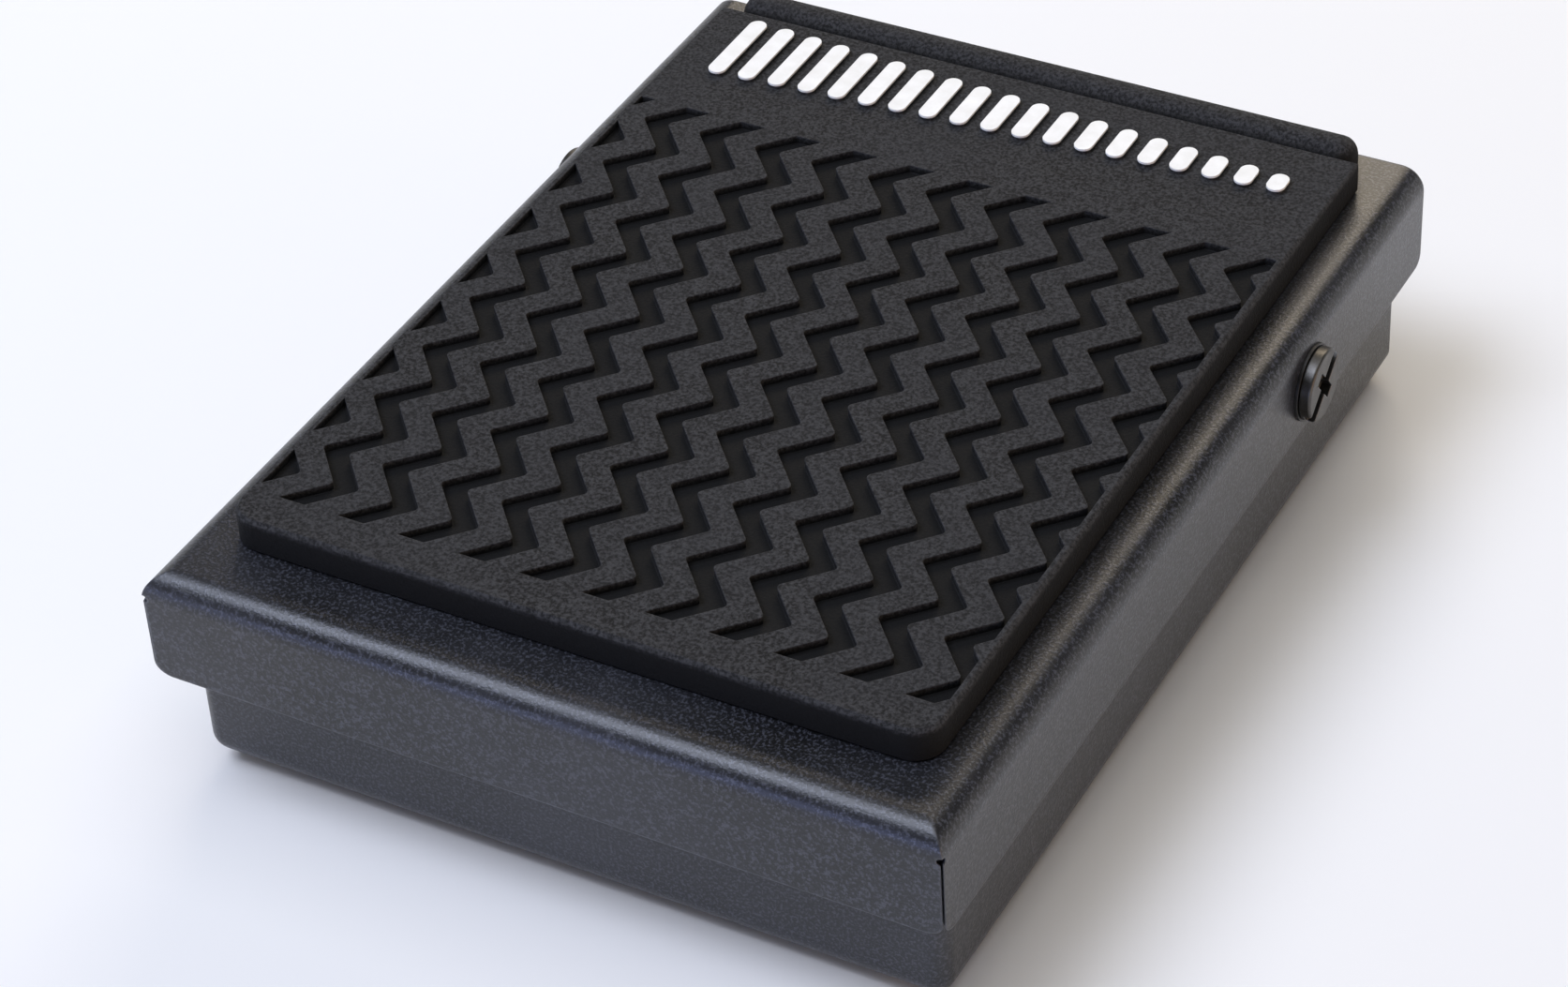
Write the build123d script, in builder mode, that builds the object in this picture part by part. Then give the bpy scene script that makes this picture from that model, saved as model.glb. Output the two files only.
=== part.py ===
from build123d import *
import os
from math import cos, radians, sin

# Sustain pedal: a hinged pressed-steel treadle over a pressed-steel tray, held up by two
# springs and closing a small momentary switch when the front is pressed.
# Millimetres, +Z up. The origin is on the floor under the middle of the pedal. -Y is the
# end that the foot presses, +Y is the rear, where the lead leaves.

os.makedirs("parts", exist_ok=True)
SIDES = (("left", -1), ("right", 1))

# Sheet metal
sheet = 1.0
shell_width = 72.4
shell_length = 96.0
shell_top = 21.6
flange_bottom = 11.6
fold_radius = 2.2
seam_gap = 0.2
relief_radius = 0.35
flange_corner = 1.2
touch = 0.01

# Tray
sole_thickness = 1.0
sole_inset = 2.8
sole_corner = 3.0
tray_side_inset = 1.6
tray_front_inset = 2.9
tray_rear_inset = 2.5
tray_wall_top = 14.2
rear_wall_top = 18.4
tray_corner = 1.6
tray_fold = 2.0
plate_corner = 2.5
edging_wall = 0.7
edging_skirt = 3.0
edging_round = 0.9
edging_gap = 0.2

# Hinge
pivot_y = 22.1
pivot_z = 15.9
shoulder_radius = 2.0
thread_radius = 1.5
thread_tail = 0.6
bush_radius = 2.6
bush_end_gap = 0.2
bush_clearance = 0.05
collar_radius = 3.5
collar_thickness = 0.3
head_radius = 3.3
head_thickness = 1.0
head_round = 0.25
slot_width = 1.3
slot_depth = 0.7
slot_turn = 40
recess_width = 1.2
recess_span = 3.6
recess_depth = 1.0
head_gap = 0.1
spacer_radius = 3.7
spacer_bore = 2.8
spacer_thickness = 0.5
nut_across_flats = 5.5
nut_thickness = 2.4
ear_half_width = 6.0
ear_reach = 3.4

# Tread pad
film_thickness = 0.2
film_inset = 0.5
pad_thickness = 3.0
pad_width = 64.0
pad_front = -41.3
band_front = 29.9
band_rear = 42.5
band_recess = 0.12
pad_corner = 2.6
pad_bevel = 0.3
bead_width = 61.4
bead_gap = 0.3
bead_height = 0.35
bead_front_radius = 1.8
bead_rear_radius = 2.4
bead_end_radius = 1.5
web_overlap = 0.5
web_drop = 0.6
groove_pitch = 5.7
groove_width = 2.5
groove_swing = 3.5
groove_depth = 0.75
groove_corner = 0.45
groove_half_period = 3.8
groove_count = 11
field_front = -37.6
field_rear = 25.8
field_rim = 0.65
first_column = -29.4
first_vertex = 22.8

# Badge: plain bars of falling height
bar_count = 19
bar_pitch = 3.0
bar_width = 1.7
bar_tallest = 9.4
bar_shortest = 2.6
bar_rise = 0.3
paint_thickness = 0.2

# Springs, guides and stops
spring_x = 23.0
spring_y = -29.5
spring_radius = 3.55
spring_wire = 0.9
spring_turns = 7
guide_radius = 2.65
guide_height = 4.0
guide_bevel = 0.6
cup_radius = 5.0
cup_bore = 4.4
cup_base = 0.6
cup_depth = 2.2
spring_end_gap = 0.05
bumper_y = -39.2
bumper_radius = 3.4
bumper_top = 15.9
bumper_taper = 2.0
bumper_round = 0.8
anchor_radius = 1.5

# Switch and board
board_width = 16.0
board_length = 25.0
board_thickness = 1.2
board_bottom = 5.0
board_y = -15.0
standoff_radius = 2.3
standoff_spacing = 20.0
board_corner = 1.0
board_clearance = 0.1
board_screw_radius = 1.25
board_screw_length = 4.0
board_screw_round = 0.5
driver_span = 2.4
driver_width = 0.6
driver_depth = 0.8
case_width = 5.8
case_length = 12.8
case_height = 6.5
case_corner = 0.5
case_clearance = 0.05
lug_root = 0.3
lug_thickness = 0.9
lever_pin_radius = 0.4
lever_pin_rise = 0.9
lever_width = 3.8
lever_length = 13.2
lever_thickness = 0.35
lever_angle = 10.5
knuckle_radius = 0.72
plunger_radius = 0.8
plunger_round = 0.3
plunger_offset = 3.4
plunger_length = 2.75
plunger_rise = 1.25
plunger_bore_depth = 2.3
terminal_spacing = 5.08
terminal_width = 0.9
terminal_thickness = 0.5
terminal_tail = 1.2
stem_reach = 12.5
stem_radius = 1.6
stem_gap = 0.14
stem_round = 1.5
stem_foot_radius = 4.5

# Lead inlet
grommet_z = 7.0
grommet_radius = 4.0
grommet_neck = 2.8
neck_clearance = 0.05
grommet_bore = 2.1
grommet_lip = 2.2
grommet_slope = 0.8

# Worked out from the sizes above
tray_width = shell_width - 2 * tray_side_inset
tray_front = -shell_length / 2 + tray_front_inset
tray_rear = shell_length / 2 - tray_rear_inset
tray_length = tray_rear - tray_front
tray_mid = (tray_front + tray_rear) / 2
tray_bottom = sole_thickness
tray_floor = tray_bottom + sheet
ceiling = shell_top - sheet
pad_bottom = shell_top + film_thickness
pad_top = pad_bottom + pad_thickness
band_top = pad_top - band_recess
band_mid = (band_front + band_rear) / 2
bead_front = band_rear + bead_gap
bead_rear = bead_front + bead_front_radius + bead_rear_radius
bead_top = pad_top + bead_height
edging_top = ceiling - edging_gap
edging_bottom = rear_wall_top - edging_skirt
flange_out = shell_width / 2
flange_in = flange_out - sheet
wall_out = tray_width / 2
wall_in = wall_out - sheet
edging_width = 2 * (wall_in - plate_corner)
collar_out = flange_out + collar_thickness
head_in = collar_out + head_gap
head_out = head_in + head_thickness
slot_line = (0, cos(radians(slot_turn)), sin(radians(slot_turn)))
spring_top = ceiling - cup_base - spring_end_gap
spring_rise = spring_top - tray_floor - spring_wire
board_top = board_bottom + board_thickness
case_top = board_top + case_height
case_front = board_y - case_length / 2
pin_y = case_front + lug_thickness
pin_z = case_top + lever_pin_rise
plunger_y = pin_y + plunger_offset
plunger_top = case_top + plunger_rise
stem_y = pin_y + stem_reach
lever_rise = stem_reach * sin(radians(lever_angle)) + lever_thickness / 2
stem_tip = pin_z + lever_rise + stem_gap
terminal_hole = (terminal_width + 2 * board_clearance, terminal_thickness + 2 * board_clearance)
spring_points = [(side * spring_x, spring_y) for _, side in SIDES]
bumper_points = [(side * spring_x, bumper_y) for _, side in SIDES]
standoff_points = [(0, board_y + end * standoff_spacing / 2) for end in (-1, 1)]


# Rubber sole glued under the tray
with BuildPart() as rubber_sole:
    with BuildSketch():
        with Locations((0, tray_mid)):
            RectangleRounded(tray_width - 2 * sole_inset, tray_length - 2 * sole_inset, sole_corner)
    extrude(amount=sole_thickness)
rubber_sole.part.label = "rubber_sole"
export_step(rubber_sole.part, "parts/rubber_sole.step")


# Pressed-steel tray, open at the rear, with ears for the hinge
with BuildPart() as base_tray:
    with BuildSketch(Plane.XY.offset(tray_bottom)):
        with Locations((0, tray_mid + tray_length / 2)):
            Rectangle(tray_width, 2 * tray_length)
    extrude(amount=tray_wall_top - tray_bottom)
    fillet(base_tray.edges().filter_by(Axis.Z), tray_corner)
    fillet(base_tray.faces().sort_by(Axis.Z)[0].edges(), tray_fold)
    offset(amount=-sheet, openings=base_tray.faces().sort_by(Axis.Z)[-1])
    with BuildSketch(Plane.XZ.offset(-tray_rear)):
        Rectangle(2 * tray_width, 2 * tray_width)
    extrude(amount=-2 * tray_length, mode=Mode.SUBTRACT)
    with BuildSketch(Plane.YZ.offset(-wall_out), Plane.YZ.offset(wall_in)):
        with Locations((pivot_y, (tray_wall_top + pivot_z) / 2)):
            Rectangle(2 * ear_half_width, pivot_z - tray_wall_top)
        with Locations((pivot_y, pivot_z)):
            SlotOverall(2 * ear_half_width, 2 * ear_reach)
        with Locations((pivot_y, tray_wall_top - ear_reach)):
            Rectangle(2 * ear_half_width, 2 * ear_reach)
    extrude(amount=sheet)
    with BuildSketch(Plane.YZ):
        with Locations((pivot_y, pivot_z)):
            Circle(thread_radius)
    extrude(amount=tray_width, both=True, mode=Mode.SUBTRACT)
    with BuildSketch(Plane.XY.offset(tray_bottom)):
        with Locations(*spring_points, *bumper_points, *standoff_points):
            Circle(anchor_radius)
    extrude(amount=sheet, mode=Mode.SUBTRACT)
base_tray.part.label = "base_tray"
export_step(base_tray.part, "parts/base_tray.step")


# Rear plate, spot-welded between the tray's walls, with the hole for the lead
with BuildPart() as rear_plate:
    with BuildSketch(Plane.XZ.offset(-tray_rear)) as plate_outline:
        with Locations((0, (tray_floor + rear_wall_top) / 2)):
            Rectangle(2 * wall_in, rear_wall_top - tray_floor)
        fillet(plate_outline.vertices().group_by(Axis.Y)[0], tray_fold)
        fillet(plate_outline.vertices().group_by(Axis.Y)[-1], plate_corner)
        with Locations((0, grommet_z)):
            Circle(grommet_neck + neck_clearance, mode=Mode.SUBTRACT)
    extrude(amount=sheet)
rear_plate.part.label = "rear_plate"
export_step(rear_plate.part, "parts/rear_plate.step")


# Rubber edging on the rear plate, which stops the treadle on its way up
with BuildPart() as rear_stop_strip:
    with BuildSketch(Plane.YZ):
        with Locations((tray_rear - sheet / 2, (edging_bottom + edging_top) / 2)):
            Rectangle(sheet + 2 * edging_wall, edging_top - edging_bottom)
    extrude(amount=edging_width / 2, both=True)
    fillet(rear_stop_strip.faces().sort_by(Axis.Z)[-1].edges().filter_by(Axis.X), edging_round)
    with BuildSketch(Plane.YZ):
        with Locations((tray_rear - sheet / 2, rear_wall_top - edging_skirt / 2)):
            Rectangle(sheet, edging_skirt)
    extrude(amount=edging_width, both=True, mode=Mode.SUBTRACT)
rear_stop_strip.part.label = "rear_stop_strip"
export_step(rear_stop_strip.part, "parts/rear_stop_strip.step")


# Grommet in the rear plate for the lead
with BuildPart() as cable_grommet:
    with BuildSketch(Plane.YZ):
        with BuildLine():
            Polyline(
                (tray_rear + grommet_lip, grommet_z + grommet_bore),
                (tray_rear + grommet_lip, grommet_z + grommet_radius - grommet_slope),
                (tray_rear, grommet_z + grommet_radius),
                (tray_rear, grommet_z + grommet_neck),
                (tray_rear - sheet, grommet_z + grommet_neck),
                (tray_rear - sheet, grommet_z + grommet_radius),
                (tray_rear - sheet - grommet_lip, grommet_z + grommet_radius - grommet_slope),
                (tray_rear - sheet - grommet_lip, grommet_z + grommet_bore),
                close=True,
            )
        make_face()
    revolve(axis=Axis((0, 0, grommet_z), (0, 1, 0)))
cable_grommet.part.label = "cable_grommet"
export_step(cable_grommet.part, "parts/cable_grommet.step")


# Folded-steel treadle shell: top plate with front and side flanges, open at the rear
with BuildPart() as top_shell:
    with BuildSketch(Plane.XY.offset(flange_bottom)):
        Rectangle(shell_width, shell_length)
    extrude(amount=shell_top - flange_bottom)
    with BuildSketch(Plane.XY.offset(flange_bottom)):
        with Locations((0, sheet)):
            Rectangle(shell_width - 2 * sheet, shell_length)
    extrude(amount=ceiling - flange_bottom, mode=Mode.SUBTRACT)
    plate_edges = top_shell.faces().sort_by(Axis.Z)[-1].edges()
    fillet(plate_edges.sort_by(Axis.Y)[:-1], fold_radius)
    inner_edges = top_shell.edges().filter_by_position(Axis.Z, ceiling - touch, ceiling + touch)
    fillet(inner_edges.sort_by(Axis.Y)[:-1], fold_radius - sheet)
    for _, side in SIDES:
        seam_end = (side * flange_out, -shell_length / 2, shell_top - fold_radius)
        with BuildSketch(Plane.XY.offset(flange_bottom)):
            with Locations((side * flange_out, -shell_length / 2)):
                Rectangle(6 * sheet, seam_gap, rotation=-45 * side)
        extrude(amount=shell_top - fold_radius - flange_bottom, mode=Mode.SUBTRACT)
        with BuildSketch(Plane(seam_end, z_dir=(side, -1, 0))):
            Circle(relief_radius)
        extrude(amount=3 * sheet, both=True, mode=Mode.SUBTRACT)
    with BuildSketch(Plane.YZ):
        with Locations((pivot_y, pivot_z)):
            Circle(bush_radius)
    extrude(amount=shell_width, both=True, mode=Mode.SUBTRACT)
    flange_ends = top_shell.edges().filter_by_position(Axis.Z, flange_bottom - touch, flange_bottom + touch)
    flange_ends = flange_ends.filter_by(lambda edge: sheet / 2 < edge.length < 2 * sheet)
    fillet(flange_ends, flange_corner)
top_shell.part.label = "top_shell"
export_step(top_shell.part, "parts/top_shell.step")


# Adhesive film under the tread
with BuildPart() as pad_adhesive:
    with BuildSketch(Plane.XY.offset(shell_top)):
        with Locations((0, (pad_front + bead_rear) / 2)):
            Rectangle(bead_width - 2 * film_inset, bead_rear - pad_front - 2 * film_inset)
    extrude(amount=film_thickness)
pad_adhesive.part.label = "pad_adhesive"
export_step(pad_adhesive.part, "parts/pad_adhesive.step")


def bar_height(index):
    """Height of one badge bar, falling evenly from the first to the last."""
    return bar_tallest + (bar_shortest - bar_tallest) * index / (bar_count - 1)


bar_places = []
for index in range(bar_count):
    bar_x = (index - (bar_count - 1) / 2) * bar_pitch
    bar_places.append((bar_x, band_mid, bar_height(index)))


def groove_outline(column):
    """Corner points of one zigzag groove, running the full length of the field."""
    left = first_column + column * groove_pitch
    start = first_vertex + 2 * groove_half_period
    count = int((start - field_front) / groove_half_period) + 3
    steps = range(count)
    near = [(left + groove_swing * (k % 2), start - k * groove_half_period) for k in steps]
    return near + [(x + groove_width, y) for x, y in reversed(near)]


# Rubber tread pad with zigzag grooves, a plain band for the badge and a rear bead
with BuildPart() as tread_pad:
    with BuildSketch(Plane.XY.offset(pad_bottom)) as pad_outline:
        with Locations((0, (pad_front + band_rear) / 2)):
            Rectangle(pad_width, band_rear - pad_front)
        fillet(pad_outline.vertices().group_by(Axis.Y)[0], pad_corner)
    extrude(amount=pad_thickness)
    chamfer(tread_pad.faces().sort_by(Axis.Z)[-1].edges(), pad_bevel)
    with BuildSketch(Plane.XY.offset(pad_top)) as grooves:
        for column in range(-1, groove_count + 1):
            with BuildLine():
                Polyline(*groove_outline(column), close=True)
            make_face()
        fillet(grooves.vertices(), groove_corner)
        with Locations((0, (field_front + field_rear) / 2)):
            Rectangle(pad_width - 2 * field_rim, field_rear - field_front, mode=Mode.INTERSECT)
    extrude(amount=-groove_depth, mode=Mode.SUBTRACT)
    with BuildSketch(Plane.XY.offset(pad_top)):
        with Locations((0, band_mid)):
            Rectangle(pad_width, band_rear - band_front)
    extrude(amount=-band_recess, mode=Mode.SUBTRACT)
    with BuildSketch(Plane.YZ):
        with BuildLine():
            front_face = Line((bead_front, pad_bottom), (bead_front, bead_top - bead_front_radius))
            front_round = JernArc(front_face @ 1, (0, 1), bead_front_radius, -90)
            rear_round = JernArc(front_round @ 1, (1, 0), bead_rear_radius, -90)
            Polyline(rear_round @ 1, (bead_rear, pad_bottom), front_face @ 0)
        make_face()
    extrude(amount=bead_width / 2, both=True)
    bead_sides = tread_pad.faces().filter_by(Axis.X).filter_by_position(Axis.Y, bead_front + 1, bead_rear)
    fillet(bead_sides.edges().filter_by(lambda edge: edge.center().Z > pad_bottom + touch), bead_end_radius)
    with BuildSketch(Plane.XY.offset(pad_bottom)):
        with Locations((0, band_rear + bead_gap / 2)):
            Rectangle(bead_width - 2 * bead_end_radius, bead_gap + 2 * web_overlap)
    extrude(amount=band_top - pad_bottom - web_drop)
    with BuildSketch(Plane.XY.offset(band_top)):
        for bar_x, bar_y, height in bar_places:
            with Locations((bar_x, bar_y)):
                SlotOverall(height, bar_width, rotation=90)
    extrude(amount=bar_rise)
tread_pad.part.label = "tread_pad"
export_step(tread_pad.part, "parts/tread_pad.step")


# White paint on the raised badge bars
with BuildPart() as badge_bars:
    with BuildSketch(Plane.XY.offset(band_top + bar_rise)):
        for bar_x, bar_y, height in bar_places:
            with Locations((bar_x, bar_y)):
                SlotOverall(height, bar_width, rotation=90)
    extrude(amount=paint_thickness)
badge_bars.part.label = "badge_bars"
export_step(badge_bars.part, "parts/badge_bars.step")


# Hinge hardware, the same on each side
for name, side in SIDES:
    outward = Plane((0, pivot_y, pivot_z), x_dir=slot_line, z_dir=(side, 0, 0))

    with BuildPart() as pivot_screw:
        with BuildSketch(outward.offset(head_in)):
            Circle(head_radius)
        extrude(amount=head_thickness)
        fillet(pivot_screw.faces().sort_by(Axis((0, 0, 0), (side, 0, 0)))[-1].edges(), head_round)
        with BuildSketch(outward.offset(wall_out)):
            Circle(shoulder_radius)
        extrude(amount=head_in - wall_out)
        with BuildSketch(outward.offset(wall_in - nut_thickness - thread_tail)):
            Circle(thread_radius)
        extrude(amount=nut_thickness + sheet + thread_tail)
        with BuildSketch(outward.offset(head_out)):
            Rectangle(3 * head_radius, slot_width)
        extrude(amount=-slot_depth, mode=Mode.SUBTRACT)
        with BuildSketch(outward.offset(head_out)):
            Rectangle(recess_span, recess_width)
            Rectangle(recess_width, recess_span)
        extrude(amount=-recess_depth, mode=Mode.SUBTRACT)
    pivot_screw.part.label = f"pivot_screw_{name}"
    export_step(pivot_screw.part, f"parts/pivot_screw_{name}.step")

    with BuildPart() as pivot_bush:
        with BuildSketch(outward.offset(flange_out)):
            Circle(collar_radius)
        extrude(amount=collar_thickness)
        with BuildSketch(outward.offset(wall_out + bush_end_gap)):
            Circle(bush_radius)
        extrude(amount=flange_out - wall_out - bush_end_gap)
        with BuildSketch(outward.offset(wall_out)):
            Circle(shoulder_radius + bush_clearance)
        extrude(amount=head_in - wall_out, mode=Mode.SUBTRACT)
    pivot_bush.part.label = f"pivot_bush_{name}"
    export_step(pivot_bush.part, f"parts/pivot_bush_{name}.step")

    with BuildPart() as spacer_washer:
        with BuildSketch(outward.offset(wall_out)):
            Circle(spacer_radius)
            Circle(spacer_bore, mode=Mode.SUBTRACT)
        extrude(amount=spacer_thickness)
    spacer_washer.part.label = f"spacer_washer_{name}"
    export_step(spacer_washer.part, f"parts/spacer_washer_{name}.step")

    with BuildPart() as pivot_nut:
        with BuildSketch(outward.offset(wall_in - nut_thickness)):
            RegularPolygon(nut_across_flats / 2, 6, major_radius=False)
            Circle(thread_radius, mode=Mode.SUBTRACT)
        extrude(amount=nut_thickness)
    pivot_nut.part.label = f"pivot_nut_{name}"
    export_step(pivot_nut.part, f"parts/pivot_nut_{name}.step")


# Return spring, its guide and cup, and the stop beside it, the same on each side
for name, side in SIDES:
    spring_place = (side * spring_x, spring_y)

    with BuildPart() as return_spring:
        with BuildLine(Plane((*spring_place, tray_floor + spring_wire / 2))):
            coil = Helix(spring_rise / spring_turns, spring_rise, spring_radius)
        with BuildSketch(Plane(coil @ 0, z_dir=coil % 0)):
            Circle(spring_wire / 2)
        sweep(path=coil)
    return_spring.part.label = f"return_spring_{name}"
    export_step(return_spring.part, f"parts/return_spring_{name}.step")

    with BuildPart() as spring_guide:
        with BuildSketch(Plane.XY.offset(tray_bottom)):
            with Locations(spring_place):
                Circle(anchor_radius)
        extrude(amount=sheet)
        with BuildSketch(Plane.XY.offset(tray_floor)):
            with Locations(spring_place):
                Circle(guide_radius)
        extrude(amount=guide_height)
        chamfer(spring_guide.faces().sort_by(Axis.Z)[-1].edges(), guide_bevel)
    spring_guide.part.label = f"spring_guide_{name}"
    export_step(spring_guide.part, f"parts/spring_guide_{name}.step")

    with BuildPart() as spring_cup:
        with BuildSketch(Plane.XY.offset(ceiling - cup_depth)):
            with Locations(spring_place):
                Circle(cup_radius)
        extrude(amount=cup_depth)
        with BuildSketch(Plane.XY.offset(ceiling - cup_depth)):
            with Locations(spring_place):
                Circle(cup_bore)
        extrude(amount=cup_depth - cup_base, mode=Mode.SUBTRACT)
    spring_cup.part.label = f"spring_cup_{name}"
    export_step(spring_cup.part, f"parts/spring_cup_{name}.step")

    with BuildPart() as stop_bumper:
        with BuildSketch(Plane.XY.offset(tray_bottom)):
            with Locations((side * spring_x, bumper_y)):
                Circle(anchor_radius)
        extrude(amount=sheet)
        with BuildSketch(Plane.XY.offset(tray_floor)):
            with Locations((side * spring_x, bumper_y)):
                Circle(bumper_radius)
        extrude(amount=bumper_top - tray_floor, taper=bumper_taper)
        fillet(stop_bumper.faces().sort_by(Axis.Z)[-1].edges(), bumper_round)
    stop_bumper.part.label = f"stop_bumper_{name}"
    export_step(stop_bumper.part, f"parts/stop_bumper_{name}.step")


# Circuit board on two standoffs
with BuildPart() as board_standoffs:
    with BuildSketch(Plane.XY.offset(tray_bottom)):
        with Locations(*standoff_points):
            Circle(anchor_radius)
    extrude(amount=sheet)
    with BuildSketch(Plane.XY.offset(tray_floor)):
        with Locations(*standoff_points):
            RegularPolygon(standoff_radius, 6)
    extrude(amount=board_bottom - tray_floor)
    with BuildSketch(Plane.XY.offset(board_bottom)):
        with Locations(*standoff_points):
            Circle(board_screw_radius)
    extrude(amount=tray_floor - board_bottom, mode=Mode.SUBTRACT)
board_standoffs.part.label = "board_standoffs"
export_step(board_standoffs.part, "parts/board_standoffs.step")

with BuildPart() as circuit_board:
    with BuildSketch(Plane.XY.offset(board_bottom)):
        with Locations((0, board_y)):
            RectangleRounded(board_width, board_length, board_corner)
            with GridLocations(0, standoff_spacing, 1, 2):
                Circle(board_screw_radius + board_clearance, mode=Mode.SUBTRACT)
            with GridLocations(0, terminal_spacing, 1, 3):
                Rectangle(*terminal_hole, mode=Mode.SUBTRACT)
    extrude(amount=board_thickness)
circuit_board.part.label = "circuit_board"
export_step(circuit_board.part, "parts/circuit_board.step")

with BuildPart() as board_screws:
    with BuildSketch(Plane.XY.offset(board_top)):
        with Locations(*standoff_points):
            Circle(2 * board_screw_radius)
    extrude(amount=board_screw_radius)
    fillet(board_screws.faces().group_by(Axis.Z)[-1].edges(), board_screw_round)
    with BuildSketch(Plane.XY.offset(board_top - board_screw_length)):
        with Locations(*standoff_points):
            Circle(board_screw_radius)
    extrude(amount=board_screw_length)
    with BuildSketch(Plane.XY.offset(board_top + board_screw_radius)):
        with Locations(*standoff_points):
            Rectangle(driver_span, driver_width)
            Rectangle(driver_width, driver_span)
    extrude(amount=-driver_depth, mode=Mode.SUBTRACT)
board_screws.part.label = "board_screws"
export_step(board_screws.part, "parts/board_screws.step")


# Momentary switch: moulded case with two lugs for the lever pin
with BuildPart() as switch_case:
    with BuildSketch(Plane.XY.offset(board_top)):
        with Locations((0, board_y)):
            RectangleRounded(case_width, case_length, case_corner)
    extrude(amount=case_height)
    with BuildSketch(Plane.YZ.offset(-case_width / 2), Plane.YZ.offset(case_width / 2 - lug_thickness)):
        with Locations((pin_y, pin_z)):
            Circle(lug_thickness)
        with Locations((pin_y, (case_top - lug_root + pin_z) / 2)):
            Rectangle(2 * lug_thickness, pin_z - case_top + lug_root)
    extrude(amount=lug_thickness)
    with BuildSketch(Plane.YZ):
        with Locations((pin_y, pin_z)):
            Circle(lever_pin_radius)
    extrude(amount=case_width, both=True, mode=Mode.SUBTRACT)
    with BuildSketch(Plane.XY.offset(case_top)):
        with Locations((0, plunger_y)):
            Circle(plunger_radius + case_clearance)
    extrude(amount=-plunger_bore_depth, mode=Mode.SUBTRACT)
switch_case.part.label = "switch_case"
export_step(switch_case.part, "parts/switch_case.step")

with BuildPart() as switch_terminals:
    with BuildSketch(Plane.XY.offset(board_bottom - terminal_tail)):
        with Locations((0, board_y)):
            with GridLocations(0, terminal_spacing, 1, 3):
                Rectangle(terminal_width, terminal_thickness)
    extrude(amount=board_thickness + terminal_tail)
switch_terminals.part.label = "switch_terminals"
export_step(switch_terminals.part, "parts/switch_terminals.step")

with BuildPart() as switch_plunger:
    with BuildSketch(Plane.XY.offset(plunger_top - plunger_length)):
        with Locations((0, plunger_y)):
            Circle(plunger_radius)
    extrude(amount=plunger_length)
    fillet(switch_plunger.faces().sort_by(Axis.Z)[-1].edges(), plunger_round)
switch_plunger.part.label = "switch_plunger"
export_step(switch_plunger.part, "parts/switch_plunger.step")

with BuildPart() as lever_pin:
    with BuildSketch(Plane.YZ):
        with Locations((pin_y, pin_z)):
            Circle(lever_pin_radius)
    extrude(amount=case_width / 2, both=True)
lever_pin.part.label = "lever_pin"
export_step(lever_pin.part, "parts/lever_pin.step")

lever_slope = (0, cos(radians(lever_angle)), sin(radians(lever_angle)))
lever_plane = Plane((0, pin_y, pin_z), x_dir=lever_slope, z_dir=(1, 0, 0))
with BuildPart() as switch_lever:
    with BuildSketch(lever_plane):
        Circle(knuckle_radius)
        with Locations((lever_length / 2, 0)):
            Rectangle(lever_length, lever_thickness)
        with Locations((lever_length, 0)):
            Circle(lever_thickness / 2)
        Circle(lever_pin_radius + case_clearance, mode=Mode.SUBTRACT)
    extrude(amount=lever_width / 2, both=True)
switch_lever.part.label = "switch_lever"
export_step(switch_lever.part, "parts/switch_lever.step")


# Moulded stem under the plate, which presses the lever
with BuildPart() as actuator_stem:
    with BuildSketch(Plane.XY.offset(stem_tip)):
        with Locations((0, stem_y)):
            Circle(stem_radius)
    extrude(amount=ceiling - stem_tip)
    fillet(actuator_stem.faces().sort_by(Axis.Z)[0].edges(), stem_round)
    with BuildSketch(Plane.XY.offset(ceiling - sheet)):
        with Locations((0, stem_y)):
            Circle(stem_foot_radius)
    extrude(amount=sheet)
actuator_stem.part.label = "actuator_stem"
export_step(actuator_stem.part, "parts/actuator_stem.step")
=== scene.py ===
import math

import bmesh
import bpy
from bpy.props import (
    FloatProperty,
    FloatVectorProperty,
    IntProperty,
    PointerProperty,
)
from mathutils import Matrix, Vector


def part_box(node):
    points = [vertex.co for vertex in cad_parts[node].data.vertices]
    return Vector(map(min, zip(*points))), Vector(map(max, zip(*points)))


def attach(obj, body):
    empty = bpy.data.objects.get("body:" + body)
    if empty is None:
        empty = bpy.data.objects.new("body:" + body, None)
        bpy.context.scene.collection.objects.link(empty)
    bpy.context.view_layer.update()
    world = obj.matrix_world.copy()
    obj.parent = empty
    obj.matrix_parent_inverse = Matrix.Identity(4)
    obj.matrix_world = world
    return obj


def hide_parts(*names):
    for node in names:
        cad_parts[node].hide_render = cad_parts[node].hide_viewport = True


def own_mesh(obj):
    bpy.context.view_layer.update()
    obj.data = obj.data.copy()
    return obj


bl_info = {
    "name": "Sustain pedal",
    "version": (1, 0, 0),
    "blender": (4, 5, 0),
    "location": "3D View > Sidebar > Pedal",
    "description": "Finishes, return springs and studio for a hinged metal sustain pedal",
    "category": "Object",
}

MM = 0.001
SIDES = ("left", "right")

# A noise texture's usual values, from its hollows to its peaks
NOISE_SPAN = {"From Min": 0.3, "From Max": 0.7}
# How far the second tone's clouds cover the first
CLOUD_SHARE = 0.3
# How much of an edge is rubbed where it is rubbed least
LEAST_RUBBED = 0.2
# Cosine between a face's normal and its rounded copy's from which an edge is fully marked
EDGE_COSINE = 0.88
LACQUER_ROUGHNESS = 0.1

# Part of a turn over which the direction of the spring wire is measured
DIRECTION_STEP = 0.01

# The camera's frame width in millimetres, and how near it sees in metres
SENSOR_WIDTH = 36.0
CLIP_START = 0.01

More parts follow.
